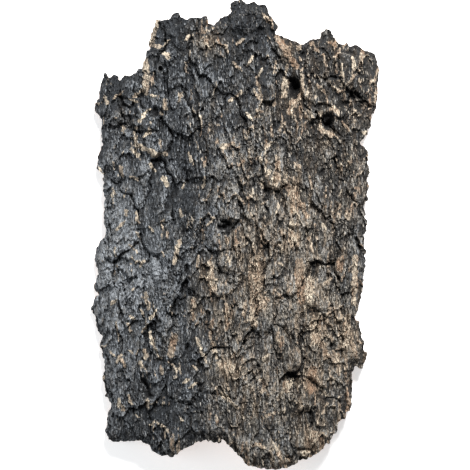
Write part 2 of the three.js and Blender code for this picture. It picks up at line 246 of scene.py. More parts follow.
SCARS = tuple(Scar(*row) for row in (
    # Side of the upper left block and the shoulder below it
    (-80, 212, -84, 195, 9, 0.5), (-85, 190, -75, 187, 5, 0.55), (-70, 180, -65, 176, 5, 0.8),
    (-89, 173, -88, 163, 8, 0.6), (-88, 160, -89, 143, 8, 0.45), (-101, 138, -92, 143, 4.5, 0.55),
    (-106, 136, -98, 132, 2.5, 0.8), (-82, 138, -79, 137, 4, 0.8), (-95, 112, -85, 126, 4, 0.9),
    (-70, 134, -69, 125, 5, 0.35), (-130, 138, -128, 132, 4, 0.35),
    # Lip of the hooked flake and the ring below it
    (-101, 104, -99, 92, 2.5, 0.5), (-98, 90, -86, 84, 5, 0.55), (-86, 84, -78, 79, 6, 0.5),
    (-78, 79, -69, 81, 5, 0.55), (-103, 85, -97, 79, 4, 0.9), (-85, 71, -79, 63, 3, 0.8),
    (-114, 68, -112, 57, 3.5, 0.45), (-104, 58, -97, 55, 3, 0.5), (-71, 56, -67, 50, 4.5, 1.0),
    # Left margin and the flank beside it
    (-122, 73, -121, 67, 3, 0.6), (-122, 45, -120, 41, 3, 0.35), (-108, 46, -110, 37, 2, 0.7),
    (-109, 25, -108, 19, 4, 0.45), (-98, 23, -97, 13, 2.5, 0.6), (-98, 2, -94, -4, 2.5, 0.7),
    (-105, -10, -98, -17, 2.5, 0.6), (-74, 12, -71, 15, 3.5, 0.7), (-54, 24, -52, 19, 4, 0.55),
    (-55, -6, -61, -27, 5, 0.7), (-94, -31, -91, -26, 3.5, 0.7), (-89, -57, -86, -72, 4, 0.45),
    (-123, -69, -120, -65, 3.5, 0.7),
    # Rim of the round flake and the chips around it, lower left
    (-83, -83, -78, -75, 3.5, 1.0), (-85, -97, -82, -107, 3.5, 0.95), (-82, -108, -74, -122, 2.5, 0.95),
    (-104, -81, -101, -84, 3, 0.8), (-107, -88, -105, -96, 3, 0.6), (-118, -87, -117, -101, 2.5, 0.3),
    (-106, -116, -101, -118, 3, 0.6), (-90, -115, -88, -120, 4, 0.45), (-115, -122, -109, -131, 4, 0.3),
    (-94, -126, -93, -131, 3, 0.9), (-115, -167, -111, -174, 4, 0.25), (-99, -179, -95, -181, 2.5, 0.9),
    (-97, -205, -96, -207, 3, 0.35), (-132, -141, -132, -153, 2.5, 0.4),
    (-64, -118, -60, -100, 8, 0.15),
    # Middle, above
    (-30, 57, -32, 48, 3.5, 0.7), (-29, 77, -30, 68, 3, 0.5), (-13, 87, -3, 89, 7, 0.45),
    (6, 142, -5, 132, 4, 0.65), (21, 157, 27, 133, 2.5, 0.5), (27, 133, 20, 117, 2.5, 0.55),
    (36, 107, 37, 97, 4, 0.3), (35, 64, 31, 57, 3, 0.9), (27, 52, 27, 46, 4, 0.9),
    (41, 57, 40, 46, 4, 0.6), (-28, 189, -24, 184, 2.5, 0.85),
    # Middle, below
    (-25, -27, -21, -53, 5, 0.6), (-42, -64, -42, -83, 4, 0.4), (-9, -69, -8, -93, 4.5, 0.4),
    (-8, -20, -5, -28, 3.5, 0.9), (-13, -62, -2, -55, 2.5, 0.8), (23, -27, 22, -53, 5, 0.55),
    (25, -63, 28, -70, 6, 0.75), (-39, -102, -28, -126, 3, 0.95), (-21, -107, -19, -121, 5, 0.8),
    (-15, -127, -3, -133, 8, 0.9), (-14, -156, -9, -161, 5, 0.9), (-12, -158, 4, -172, 3, 0.8),
    (-41, -130, -38, -133, 3.5, 0.7), (-51, -147, -47, -144, 3, 0.95), (29, -145, 27, -155, 4.5, 0.6),
    (25, -143, 33, -159, 3.5, 0.65), (53, -146, 42, -163, 3, 0.85), (31, -180, 41, -175, 3, 0.5),
    (18, -209, 25, -208, 3, 0.5), (44, -215, 45, -229, 4, 0.5), (38, -206, 42, -213, 2.5, 0.8),
    (11, -217, 13, -227, 5, 0.35),
    # Rims of the knot holes, upper right
    (42, 196, 50, 183, 7, 0.02), (50, 183, 61, 167, 7, 0.02), (49, 155, 49, 138, 7, 0.75),
    (66, 158, 67, 149, 5, 0.7), (65, 143, 56, 128, 8, 0.4), (56, 129, 55, 121, 7, 0.5),
    (97, 126, 103, 121, 6, 0.5), (86, 121, 85, 105, 3, 0.7), (87, 104, 95, 99, 6, 0.35),
    (141, 143, 142, 137, 4, 0.7), (128, 103, 132, 101, 4, 0.9), (127, 183, 125, 167, 5, 0.35),
    (125, 167, 110, 147, 3.5, 0.5), (110, 147, 108, 135, 3, 0.7), (76, 191, 83, 183, 5, 0.4),
    (96, 193, 99, 189, 5, 0.3), (110, 190, 98, 177, 3, 0.55), (88, 179, 90, 169, 3, 0.5),
    (41, 173, 39, 160, 2.5, 0.5),
    # Right flank
    (57, 42, 58, 22, 5, 0.6), (56, 13, 58, -7, 6, 0.8), (67, 30, 71, 19, 6, 0.35),
    (74, -3, 76, -15, 4, 0.55), (45, 4, 48, 1, 5, 0.4), (42, 70, 40, 55, 6, 0.25),
    (73, -43, 73, -69, 9, 0.9), (63, -27, 66, -65, 9, 0.25), (120, -23, 119, -67, 7, 0.6),
    (78, -81, 77, -107, 5, 0.65), (84, -80, 85, -95, 4, 0.4), (111, -87, 111, -110, 6, 0.7),
    (118, -110, 121, -121, 5, 0.4), (88, -107, 91, -123, 6, 0.3), (102, -120, 103, -135, 6, 0.65),
    (111, -125, 110, -141, 4, 0.45), (77, -135, 75, -153, 10, 0.15), (91, -167, 87, -177, 3.5, 0.6),
    (83, -180, 81, -188, 3, 0.6), (73, -169, 74, -173, 3, 0.8), (78, -197, 71, -217, 8, 0.6),
    (85, -205, 90, -201, 5, 0.4), (114, -165, 113, -175, 4, 0.35),
))
SCAR_CORE = 0.36
SCAR_RIM = 0.62


class Patch(NamedTuple):
    """A soft patch of changed tone, warmth or raggedness: middle, half sizes and change."""
    x: float
    y: float
    across: float
    along: float
    change: float


TONE_PATCHES = tuple(Patch(*row) for row in (
    # Darker
    (20, 208, 36, 34, -0.65), (120, 155, 30, 40, -0.5), (-125, 160, 24, 28, -0.6),
    (-90, -208, 50, 40, -0.4), (-40, -125, 20, 34, -0.35), (120, -165, 18, 24, -0.6),
    (-65, 200, 16, 24, -0.8), (-69, 160, 8, 20, -0.5), (15, 215, 18, 18, -0.5),
    (10, 160, 14, 26, -0.25), (-55, 115, 22, 14, -0.5), (-57, 85, 14, 12, -0.6),
    (-45, 40, 14, 40, -0.45), (-85, 5, 22, 30, -0.3), (-47, -40, 9, 26, -0.5),
    (-85, -155, 20, 14, -0.5), (-65, -190, 30, 30, -0.55), (-110, -195, 20, 16, -0.4),
    (-40, -170, 16, 14, -0.4), (75, 175, 14, 12, -0.4), (105, 180, 16, 14, -0.3),
    (95, 107, 12, 12, -0.4), (110, 70, 16, 14, -0.25), (110, -5, 12, 40, -0.2),
    (-120, 135, 14, 18, -0.45), (15, 70, 10, 8, -0.2), (55, -122, 12, 18, -0.35),
    (65, -175, 16, 14, -0.3), (0, -185, 24, 16, -0.2), (15, -100, 14, 12, -0.2),
    (-39, 212, 16, 16, -0.45), (42, 212, 18, 20, -0.35), (130, 165, 16, 24, -0.35),
    (46, 118, 16, 20, -0.4), (124, -23, 12, 24, -0.35), (-122, 165, 16, 16, -0.7),
    (120, -164, 14, 20, -0.35), (42, -23, 14, 14, -0.1), (-39, -117, 14, 18, -0.2),
    # Lighter
    (-118, -45, 22, 45, 0.45), (2, -120, 24, 24, 0.35), (20, -211, 34, 20, 0.3), (2, 72, 16, 20, 0.55),
    (2, 165, 14, 22, 0.3), (83, 118, 14, 20, 0.3), (-118, -25, 20, 24, 0.25), (42, -140, 18, 40, 0.25),
    (124, 24, 10, 24, 0.2), (83, -117, 14, 18, 0.2), (45, -70, 16, 18, 0.25), (45, -164, 18, 16, 0.25),
    (-105, -20, 40, 75, 0.7), (-112, 40, 24, 60, 0.3), (10, -30, 40, 95, 0.5), (65, -10, 36, 80, 0.35),
    (85, -90, 30, 50, 0.35), (5, 75, 20, 25, 0.3), (85, -208, 22, 20, 0.35), (-7, 90, 12, 8, 0.6),
    (20, 83, 14, 12, 0.4), (-30, 70, 12, 14, 0.3), (40, 60, 12, 14, 0.35), (55, 85, 16, 16, 0.25),
    (60, 20, 20, 22, 0.4), (57, -5, 10, 12, 0.7), (65, -50, 16, 24, 0.7), (81, -90, 12, 14, 0.6),
    (110, -100, 10, 18, 0.5), (100, -130, 14, 16, 0.4), (77, -143, 14, 16, 0.5), (-80, -33, 8, 12, 2.2),
    (-120, -5, 10, 30, 0.25), (-117, -40, 10, 16, 0.3), (-10, -35, 14, 16, 0.35),
    (23, -40, 12, 16, 0.4), (27, -70, 12, 10, 0.35), (-23, -115, 12, 14, 0.4), (-9, -131, 14, 10, 0.6),
    (30, -150, 14, 12, 0.4), (-7, -160, 12, 8, 0.4), (120, -45, 7, 26, 0.35), (-20, 30, 14, 14, 0.2),
    (-10, 125, 14, 30, 0.15), (80, -205, 12, 12, 0.35), (45, -220, 8, 12, 0.3),
))
WARM_PATCHES = tuple(Patch(*row) for row in (
    (-29, 193, 18, 18, 1.1), (-115, 118, 8, 14, 0.5), (-65, -104, 14, 18, 0.4),
    (-80, -30, 14, 16, -0.3), (2, -60, 28, 90, 0.35), (12, 65, 25, 40, 0.25), (124, -25, 18, 40, -0.35),
    (105, -170, 36, 30, -0.3), (42, -205, 26, 26, -0.3), (0, -165, 24, 55, 0.5), (2, 212, 40, 24, -0.2),
    (58, 40, 7, 18, 0.7), (20, -40, 9, 18, 0.8), (-27, -38, 8, 16, 0.8), (72, -55, 8, 18, 0.8),
    (-9, -132, 12, 10, 0.7), (60, -5, 9, 14, 0.6), (-42, -74, 6, 14, 0.7), (-8, -82, 7, 14, 0.7),
    (27, -68, 10, 8, 0.7), (38, 55, 8, 14, 0.5), (78, -95, 8, 18, 0.6), (111, -100, 7, 16, 0.6),
    (76, -145, 10, 14, 0.6), (76, -208, 8, 14, 0.7), (52, 182, 10, 14, 0.7), (60, 135, 14, 12, 0.6),
))
SHAGGY_PATCHES = tuple(Patch(*row) for row in (
    (15, 212, 26, 22, 2.0), (-66, 195, 16, 26, 1.0), (-120, 150, 18, 16, 0.8), (96, 188, 16, 14, 1.0),
    (-90, -160, 24, 20, 0.6),
))

# Small loose chips of cork, scattered by rule
CHIP_SPACING_ACROSS = 13.0
CHIP_SPACING_ALONG = 19.0
CHIP_HALF_WIDTH = 1.6
CHIP_HALF_LENGTH = 6.4
CHIP_TURN = 2.1
CHIP_SHARE = 0.2
CHIP_RISE = 0.8

# Relief and shading of the bark
FISSURE_SHARE = 0.24
ROW_SINK = 0.35
CORK_RISE = 0.7
CHECK_SPACING = 4.6
CHECK_DEPTH = 0.7
WIDE_BLUR = 60
FINE_BLUR = 3
LEAST_SLOPE = 0.25

# Seeds of the lattices; a lattice uses the next few numbers too
PLATE_SEED = 0
FLAKE_ROW_SEED = 40
SCALE_ROW_SEED = 45
CHIP_SEED = 170
WORD = 0xFFFFFFFF

# Mesh
GRID_OVERHANG = 6.0
BORDER_REACH = 0.8
WALL_CUTS = 6
WALL_LEDGE = 1.1
WALL_CRUMB = 1.4
WALL_INSET = 0.8
LEAST_THICKNESS = 3.0
UNDERSIDE_KEPT = 0.10
LEVEL = "level"
SHAPE_FIELDS = ("inside", "out_x", "out_y", "top", "base")

# Finish: sizes of a chip across, along and up, in millimetres, and how much its border wanders
BARK_CHIP = (1.05, 3.2, 1.5)
BARK_FLAKE = (4.6, 9.0, 5.0)
CHIP_WANDER = 1.1
BARK_BUMP = 2.2
SPECULAR = 0.25

# Studio
FLOOR_HALF_SIZE = 3.0
FLOOR_CLOUD = 400.0
KEY_PLACE = (0.35, 1.2, 1.15)
KEY_SIZE = 0.5
KEY_TINT = (1.0, 0.995, 0.985)
FILL_PLACE = (-1.2, -0.2, 1.0)
FILL_SIZE = 1.0
FILL_TINT = (0.92, 0.96, 1.0)
SKY_TINT = (0.97, 0.985, 1.0, 1.0)


def length(name, description, millimetres):
    """A property that holds a length."""
    return bpy.props.FloatProperty(
        name=name, description=description, default=millimetres * MM, min=0.0, precision=4, unit="LENGTH"
    )


def colour(name, description, linear):
    """A property that holds a colour, in linear light."""
    return bpy.props.FloatVectorProperty(
        name=name, description=description, default=linear, min=0.0, max=1.0, size=3, subtype="COLOR"
    )


def strength(name, description, value, unit="NONE"):
    """A property that holds how strong a light is."""
    return bpy.props.FloatProperty(name=name, description=description, default=value, min=0.0, unit=unit)


class BarkSizes(bpy.types.PropertyGroup):
    """Sizes of the bark's relief."""

    grid_across: length("Grid across", "Spacing of the mesh across the grain", 1.08)
    grid_along: length("Grid along", "Spacing of the mesh along the grain", 1.3)
    plate_width: length("Plate width", "Width of a bark plate, across the grain", 25)
    plate_length: length("Plate length", "Length of a bark plate, along the grain", 50)
    plate_wander: length("Plate wander", "How far the fissures wander from straight", 13)
    plate_step: length("Plate step", "Most that one plate stands above another", 5.5)
    plate_tilt: length("Plate tilt", "Most that a plate rises from its middle to its edge", 7)
    plate_crown: length("Plate crown", "Height of a plate's rounded middle", 1.2)
    fissure_depth: length("Fissure depth", "Depth of the fissures between plates", 4.5)
    lump_height: length("Lump height", "Height of the lumps on the plates", 1.6)
    flake_pitch: length("Flake pitch", "Spacing of the rows of flakes along the grain", 30)
    flake_lift: length("Flake lift", "How far the free edge of a flake stands up", 3.3)
    scale_pitch: length("Scale pitch", "Spacing of the rows of small scales on the flakes", 10)
    scale_lift: length("Scale lift", "How far the free edge of a small scale stands up", 1.8)
    fibre_height: length("Fibre height", "Height of the cords that run with the grain", 1.15)
    shred_height: length("Shred height", "Height of the shreds that lie every way", 0.55)
    grit_height: length("Grit height", "Height of the crumbs that the bark breaks into", 0.55)


class BarkColours(bpy.types.PropertyGroup):
    """Colours of the bark, in linear light."""

    charcoal: colour("Charcoal", "Dark old bark on the cooler side", (0.0215, 0.0243, 0.0283))
    umber: colour("Umber", "Dark old bark on the warmer side", (0.034, 0.0302, 0.0262))
    # Ash, straw and earth are also the colours of the painted highlights and glints on the old bark.
    ash: colour("Ash", "Weathered specks on the cooler side", (0.25, 0.267, 0.286))
    straw: colour("Straw", "Weathered specks on the warmer side", (0.355, 0.322, 0.272))
    peat: colour("Peat", "Dark bark in the brown streaks", (0.055, 0.040, 0.028))
    earth: colour("Earth", "Weathered specks in the brown streaks", (0.425, 0.330, 0.240))
    tan: colour("Tan", "Bare cork", (0.30, 0.208, 0.140))
    bleached: colour("Bleached", "Bare cork that has greyed, on the cooler side", (0.29, 0.238, 0.185))
    rust: colour("Rust", "Bare cork that has reddened", (0.25, 0.14, 0.088))
    # Cream is also the colour of the crumbs that serve as painted glints.
    cream: colour("Cream", "The palest bare cork", (0.71, 0.615, 0.48))
    # Painted shade: the near-black laid in cracks, pits, low spots and under lips.
    crevice_shade: colour("Crevice", "The depths of cracks and pits", (0.006, 0.006, 0.007))
    broken: colour("Broken edge", "Cork on the broken edge", (0.15, 0.092, 0.056))
    broken_pale: colour("Broken edge layers", "Paler layers of the broken edge", (0.34, 0.235, 0.155))
    inner: colour("Inner face", "The smooth face that lay against the trunk", (0.30, 0.145, 0.075))
    inner_pale: colour("Inner grain", "Paler grain of the inner face", (0.47, 0.27, 0.15))


class StageSettings(bpy.types.PropertyGroup):
    """The studio."""

    image_width: bpy.props.IntProperty(
        name="Image width", description="Pixels across the square picture", default=470, min=1
    )
    pixel: length("Pixel size", "Length that one pixel covers at the level of the broken edge", 1)
    edge_level: length("Edge level", "Height of the broken edge that the picture is scaled at", 20)
    camera_height: length("Camera height", "Height of the camera above the floor", 2400)
    floor: colour("Floor", "The pale floor", (0.90, 0.90, 0.90))
    floor_glow: strength("Floor glow", "Strength of the light that comes through the floor", 0.5)
    key_power: strength("Key light", "Power of the key light", 75.5, "POWER")
    fill_power: strength("Fill light", "Power of the cool light from the left", 8.0, "POWER")
    sky: strength("Sky", "Strength of the even light from all round", 0.285)


def lattice(i, j, seed):
    """Seeded random numbers from 0 to 1 for points of an endless lattice."""
    h = (i * 374761393 + j * 668265263 + seed * 974634777) & WORD
    h = ((h ^ (h >> 13)) * 1274126177) & WORD
    h = ((h ^ (h >> 15)) * 846736849) & WORD
    return (h ^ (h >> 16)) / (WORD + 1)


def smooth(value, low, high):
    """Smooth step from 0 at low to 1 at high."""
    t = np.clip((value - low) / (high - low), 0.0, 1.0)
    return t * t * (3.0 - 2.0 * t)


def noise(x, y, seed):
    """Smooth noise from -1 to 1, with one swell to a unit of x and y."""
    i = np.floor(x).astype(np.int64)
    j = np.floor(y).astype(np.int64)
    u = x - i
    v = y - j
    u = u * u * u * (u * (u * 6.0 - 15.0) + 10.0)
    v = v * v * v * (v * (v * 6.0 - 15.0) + 10.0)
    low = lattice(i, j, seed) * (1.0 - u) + lattice(i + 1, j, seed) * u
    high = lattice(i, j + 1, seed) * (1.0 - u) + lattice(i + 1, j + 1, seed) * u
    return 2.0 * (low * (1.0 - v) + high * v) - 1.0


class Cells:
    """The nearest cell of a jittered lattice, for each point."""

    def __init__(self, u, v, seed):
        self.seed = seed
        self.distance = np.full(u.shape, np.inf)
        self.second = np.full(u.shape, np.inf)
        self.i = np.zeros(u.shape, np.int64)
        self.j = np.zeros(u.shape, np.int64)
        self.du = np.zeros(u.shape)
        self.dv = np.zeros(u.shape)
        column = np.floor(u).astype(np.int64)
        row = np.floor(v).astype(np.int64)
        for di in (-1, 0, 1):
            for dj in (-1, 0, 1):
                self.offer(u, v, column + di, row + dj)

    def offer(self, u, v, i, j):
        """Take a cell where its middle is nearer than those offered before."""
        du = u - i - lattice(i, j, self.seed + 1)
        dv = v - j - lattice(i, j, self.seed + 2)
        distance = np.hypot(du, dv)
        nearer = distance < self.distance
        self.second = np.where(nearer, self.distance, np.minimum(self.second, distance))
        self.distance = np.where(nearer, distance, self.distance)
        self.i = np.where(nearer, i, self.i)
        self.j = np.where(nearer, j, self.j)
        self.du = np.where(nearer, du, self.du)
        self.dv = np.where(nearer, dv, self.dv)

    def draw(self, number):
        """A random number from 0 to 1 for each cell."""
        return lattice(self.i, self.j, self.seed + number)

    def gap(self, share):
        """1 on the border between cells, falling to 0 at a share of a cell's half width."""
        return 1.0 - smooth(self.second - self.distance, 0.0, share)


def depth_inside(x, y):
    """Distance from the outline, positive inside it."""
    nearest = np.full(x.shape, np.inf)
    inside = np.zeros(x.shape, bool)
    for (ax, ay), (bx, by) in zip(OUTLINE[-1:] + OUTLINE[:-1], OUTLINE):
        nearest = np.minimum(nearest, run_distance(x, y, ax, ay, bx, by))
        if ay != by:
            crosses = ((ay > y) != (by > y)) & (x < ax + (bx - ax) * (y - ay) / (by - ay))
            inside ^= crosses
    return np.where(inside, nearest, -nearest)


def run_distance(x, y, ax, ay, bx, by):
    """Distance from a straight run between two points."""
    dx = bx - ax
    dy = by - ay
    t = np.clip(((x - ax) * dx + (y - ay) * dy) / (dx * dx + dy * dy), 0.0, 1.0)
    return np.hypot(x - ax - t * dx, y - ay - t * dy)


def in_oval(x, y, oval, turn=0.0):
    """Place of a point in an oval, as a share of its half sizes, in its own turned frame."""
    angle = math.radians(turn)
    dx = x - oval.x
    dy = y - oval.y
    across = (dx * math.cos(angle) + dy * math.sin(angle)) / oval.across
    along = (dy * math.cos(angle) - dx * math.sin(angle)) / oval.along
    return across, along


def plate_cells(x, y, sizes):
    """The large bark plates, long cells that wander with the grain."""
    wander = sizes.plate_wander / MM
    ragged_x = 3.2 * noise(x / 8, y / 11, 13) + 1.6 * noise(x / 3.5, y / 5, 14)
    ragged_y = 4.0 * noise(x / 11, y / 9, 15) + 1.6 * noise(x / 5, y / 3.5, 16)
    u = (x + wander * noise(x / 55, y / 80, 11) + ragged_x) / (sizes.plate_width / MM)
    v = (y + wander * noise(x / 40, y / 60, 12) + ragged_y) / (sizes.plate_length / MM)
    return Cells(u, v, PLATE_SEED)


def plate_height(x, y, plates, sizes):
    """Each plate's height, lean and crown, and the fissures between plates, open here and shut there."""
    step = sizes.plate_step * (plates.draw(3) - 0.5)
    lean = sizes.plate_tilt * ((plates.draw(4) - 0.5) * plates.du + (plates.draw(5) - 0.8) * plates.dv)
    crown = sizes.plate_crown * (1.0 - np.minimum(1.0, plates.distance))
    opened = 0.2 + 0.8 * smooth(noise(x / 20, y / 28, 17), -0.3, 0.5)
    return (step + lean + crown - sizes.fissure_depth * opened * plates.gap(FISSURE_SHARE)) / MM


def flake_height(x, y):
    """The named flakes that stand proud, and where they lie."""
    wx = x + 1.8 * noise(x / 7, y / 9, 51)
    wy = y + 1.8 * noise(x / 9, y / 7, 52)
    height = np.zeros(x.shape)
    covered = np.zeros(x.shape)
    for flake in FLAKES:
        across, along = in_oval(wx, wy, flake, flake.turn)
        lift = math.radians(flake.lift)
        lifted = 1.0 - FLAKE_SLOPE + FLAKE_SLOPE * (across * math.cos(lift) + along * math.sin(lift))
        cover = 1.0 - smooth(np.hypot(across, along), 1.0 - FLAKE_SHOULDER, 1.0)
        height = np.maximum(height, flake.rise * lifted * cover)
        covered = np.maximum(covered, cover)
    return height, covered


def pit_depth(x, y):
    """The holes and sunken spots."""
    wx = x + 1.9 * noise(x / 4, y / 6, 53)
    wy = y + 2.2 * noise(x / 6, y / 5, 54)
    depth = np.zeros(x.shape)
    for pit in PITS:
        cover = 1.0 - smooth(np.hypot(*in_oval(wx, wy, pit)), PIT_FLOOR, PIT_RIM)
        depth = np.maximum(depth, pit.depth * cover)
    return depth * (0.75 + 0.25 * noise(x / 3, y / 4, 66))


def crack_depth(x, y):
    """The named cracks, which wander a little."""
    wx = x + 1.2 * noise(x / 4, y / 4, 55) + 2.2 * noise(x / 9, y / 9, 64)
    wy = y + 1.2 * noise(x / 4, y / 4, 56) + 2.2 * noise(x / 9, y / 9, 65)
    depth = np.zeros(x.shape)
    for crack in CRACKS:
        away = run_distance(wx, wy, crack.x0, crack.y0, crack.x1, crack.y1)
        cover = 1.0 - smooth(away, CRACK_FLOOR * crack.width, CRACK_RIM * crack.width)
        depth = np.maximum(depth, crack.depth * cover)
    return depth * (0.55 + 0.45 * noise(x / 4, y / 4, 63))


def cross_cracks(x, y, plates):
    """Fine cracks across the grain on some of the plates, as they dry and shrink."""
    v = y / CHECK_SPACING + 0.8 * noise(x / 11, y / 9, 71) + 0.25 * noise(x / 3, y / 3, 72)
    line = 1.0 - smooth(np.abs(v - np.round(v)), 0.05, 0.22)
    broken = smooth(noise(x / 7, y / 6, 73), -0.2, 0.3)
    flank = smooth(x + 30 * noise(x / 40, y / 40, 74), -40, 30)
    return line * broken * flank * smooth(plates.draw(6), 0.2, 0.45)


def patches(x, y, spots):
    """Sum of soft patches."""
    total = np.zeros(x.shape)
    for spot in spots:
        across, along = in_oval(x, y, spot)
        total += spot.change * np.exp(-across * across - along * along)
    return total


def warmth_of_bark(x, y):
    """How warm the bark is: cool on the left and brown on the right, less so towards the upper end."""
    flank = smooth(x - 0.05 * y + 45 * noise(x / 30, y / 60, 86), -75, 80)
    return flank * (0.8 - 0.0008 * y) + patches(x, y, WARM_PATCHES)


def scar_cover(x, y):
    """The named scars: where they show bare cork, from 0 to 1, and how pale it is."""
    wx = x + 1.2 * noise(x / 3, y / 4, 57) + 0.7 * noise(x / 1.6, y / 2, 58)
    wy = y + 1.2 * noise(x / 4, y / 3, 59) + 0.7 * noise(x / 2, y / 1.6, 60)
    cover = np.zeros(x.shape)
    pale = np.zeros(x.shape)
    for scar in SCARS:
        away = run_distance(wx, wy, scar.x0, scar.y0, scar.x1, scar.y1)
        here = 1.0 - smooth(away, SCAR_CORE * scar.width, SCAR_RIM * scar.width)
        pale = np.where(here > cover, scar.pale, pale)
        cover = np.maximum(cover, here)
    return cover, pale


def warm_streaks(x, y, warmth):
    """Thin streaks of bare cork along the grain, many on the warm side and few on the cool one."""
    wx = x + 2.5 * noise(x / 9, y / 14, 111)
    streak = 0.7 * noise(wx / 2.4, y / 15, 112) + 0.5 * noise(wx / 8, y / 26, 113)
    streak += 0.3 * noise(x / 2, y / 2.6, 114)
    return smooth(streak + 0.45 * warmth, 0.68, 1.0)


def small_chips(x, y):
    """Small loose chips that lie nearly along the grain: where they are, from 0 to 1, and how pale."""
    wx = x + 0.9 * noise(x / 2.4, y / 3.6, 161)
    wy = y + 0.9 * noise(x / 3.6, y / 2.4, 162)
    cells = Cells(wx / CHIP_SPACING_ACROSS, wy / CHIP_SPACING_ALONG, CHIP_SEED)
    turn = (cells.draw(3) - 0.5) * CHIP_TURN
    dx = cells.du * CHIP_SPACING_ACROSS
    dy = cells.dv * CHIP_SPACING_ALONG
    size = 0.6 + 0.8 * cells.draw(4)
    across = (dx * np.cos(turn) + dy * np.sin(turn)) / (CHIP_HALF_WIDTH * size)
    along = (dy * np.cos(turn) - dx * np.sin(turn)) / (CHIP_HALF_LENGTH * size)
    chip = 1.0 - smooth(np.hypot(across, along), 0.7, 1.1)
    return chip * (cells.draw(5) < CHIP_SHARE), 0.3 + 0.7 * cells.draw(6)


def cork_cover(x, y, warmth, chips, chip_pale):
    """Scars, streaks and chips: where bare cork shows, from 0 to 1, and how pale it is."""
    bare, pale = scar_cover(x, y)
    bare = np.maximum(bare, 0.9 * warm_streaks(x, y, warmth))
    pale = np.where(pale > 0.0, pale, 0.35 + 0.35 * noise(x / 12, y / 20, 143))
    pale = np.where(chips > bare, chip_pale, pale)
    return np.maximum(bare, chips), pale


def flake_rows(x, y, pitch, seed):
    """Ragged rows of flakes that lift towards their free lower edges.

    Gives the height from 0 to 1, how near the free edge a point is, and painted shade under the next
    flake's edge.
    """
    wander = 1.75 * noise(x / (0.5 * pitch), y / (2.6 * pitch), seed)
    wander += 0.3 * noise(x / (0.22 * pitch), y / (0.6 * pitch), seed + 1)
    wander += 4.0 / pitch * noise(x / 3.2, y / 10, seed + 2)
    wander += 2.5 / pitch * noise(x / 1.9, y / 3.8, seed + 3)
    row = wander - y / pitch
    place = row - np.floor(row)
    height = place ** 1.5 * (1.0 - smooth(place, 0.95, 1.0))
    lip = smooth(place, 0.8, 0.95)
    # Painted shade on the strip just under the edge of the next flake.
    lip_shade = 1.0 - smooth(place, 0.0, 0.15)
    return height, lip, lip_shade


def loose_bark(x, y, covered, warmth, sizes):
    """The rows of flakes and of the small scales on them.

    Gives their height in millimetres, the free lips of the flakes and of the scales, and painted shade
    under them.
    """
    flakes, flake_lip, flake_lip_shade = flake_rows(x, y, sizes.flake_pitch / MM, FLAKE_ROW_SEED)
    scales, scale_lip, scale_lip_shade = flake_rows(x, y, sizes.scale_pitch / MM, SCALE_ROW_SEED)
    loose = (0.4 + 0.8 * smooth(noise(x / 26, y / 44, 131), -0.4, 0.5)) * (1.0 - 0.6 * covered)
    shaggy = 0.25 + smooth(noise(x / 21, y / 33, 132), -0.4, 0.6)
    shaggy *= 1.0 - 0.35 * np.clip(warmth, 0.0, 1.0)
    height = loose * sizes.flake_lift * (flakes - ROW_SINK)
    height += shaggy * sizes.scale_lift * (scales - ROW_SINK)
    # Painted shade on the strips under the lips of flakes and scales.
    lip_shade = 0.4 * loose * flake_lip_shade + 0.25 * shaggy * scale_lip_shade
    return height / MM, loose * flake_lip, shaggy * scale_lip, lip_shade


def shreds(x, y):
    """Torn shreds that lie every way, from -1 to 1."""
    wx = x + 1.6 * noise(x / 3.1, y / 3.7, 121)
    wy = y + 1.6 * noise(x / 3.7, y / 3.1, 122)
    first = 1.0 - 2.0 * np.abs(noise(wx / 2.0, wy / 3.6, 123))
    second = 1.0 - 2.0 * np.abs(noise((wx + wy) / 3.4, (wx - wy) / 2.0, 124))
    return 0.5 * (first + second)


def fibres(x, y):
    """Cords of bark that run with the grain, from -1 to 1."""
    wx = x + 3.5 * noise(x / 11, y / 24, 101) + 1.2 * noise(x / 4, y / 9, 102)
    cords = 1.0 - 2.0 * np.abs(noise(wx / 4.6, y / 34, 103))
    threads = noise(wx / 1.9, y / 17, 104)
    return 0.6 * cords + 0.4 * threads


def fine_bark(x, y, warmth, bare, sizes):
    """Height of the cords along the grain, the shreds and the grit, in millimetres."""
    torn = (0.8 + 0.35 * noise(x / 40, y / 55, 83)) * (1.0 - 0.4 * bare)
    torn *= 1.0 - 0.6 * np.clip(warmth, 0.0, 1.0)
    torn += patches(x, y, SHAGGY_PATCHES)
    height = sizes.fibre_height * (0.4 + warmth) * fibres(x, y)
    height += sizes.shred_height * torn * shreds(x, y)
    height += sizes.grit_height * noise(x / 1.25, y / 1.6, 151)
    return height / MM


def blurred(field, steps):
    """A field on a grid, smoothed by repeated averaging over each point's neighbours."""
    for _ in range(steps):
        padded = np.pad(field, 1, mode="edge")
        rows = (padded[:-2] + 2.0 * padded[1:-1] + padded[2:]) / 4.0
        field = (rows[:, :-2] + 2.0 * rows[:, 1:-1] + rows[:, 2:]) / 4.0
    return field


def inner_height(x, y):
    """The inner face: the hollow of the bend, level at the rest spots and a little wavy elsewhere."""
    curve = INNER_RISE * (1.0 - (x / INNER_HALF_SPAN) ** 2)
    softened = np.maximum(0.0, curve + FOOT_BLEND) ** 2 / (4.0 * FOOT_BLEND)
    hollow = np.where(curve > FOOT_BLEND, curve, softened)
    clear = np.ones(x.shape)
    for spot_x, spot_y in REST_SPOTS:
        beyond_x = (np.abs(x - spot_x) - REST_HALF_WIDTH) / REST_FADE
        beyond_y = (np.abs(y - spot_y) - REST_HALF_LENGTH) / REST_FADE
        clear = np.minimum(clear, np.clip(np.maximum(beyond_x, beyond_y), 0.0, 1.0))
    wave = INNER_WAVE * (0.6 + 0.4 * noise(x / 60, y / 90, 31))
    grain = 0.35 * noise(x / 3, y / 24, 32) + 0.25 * noise(x / 7, y / 12, 33)
    return hollow + (wave + grain) * clear


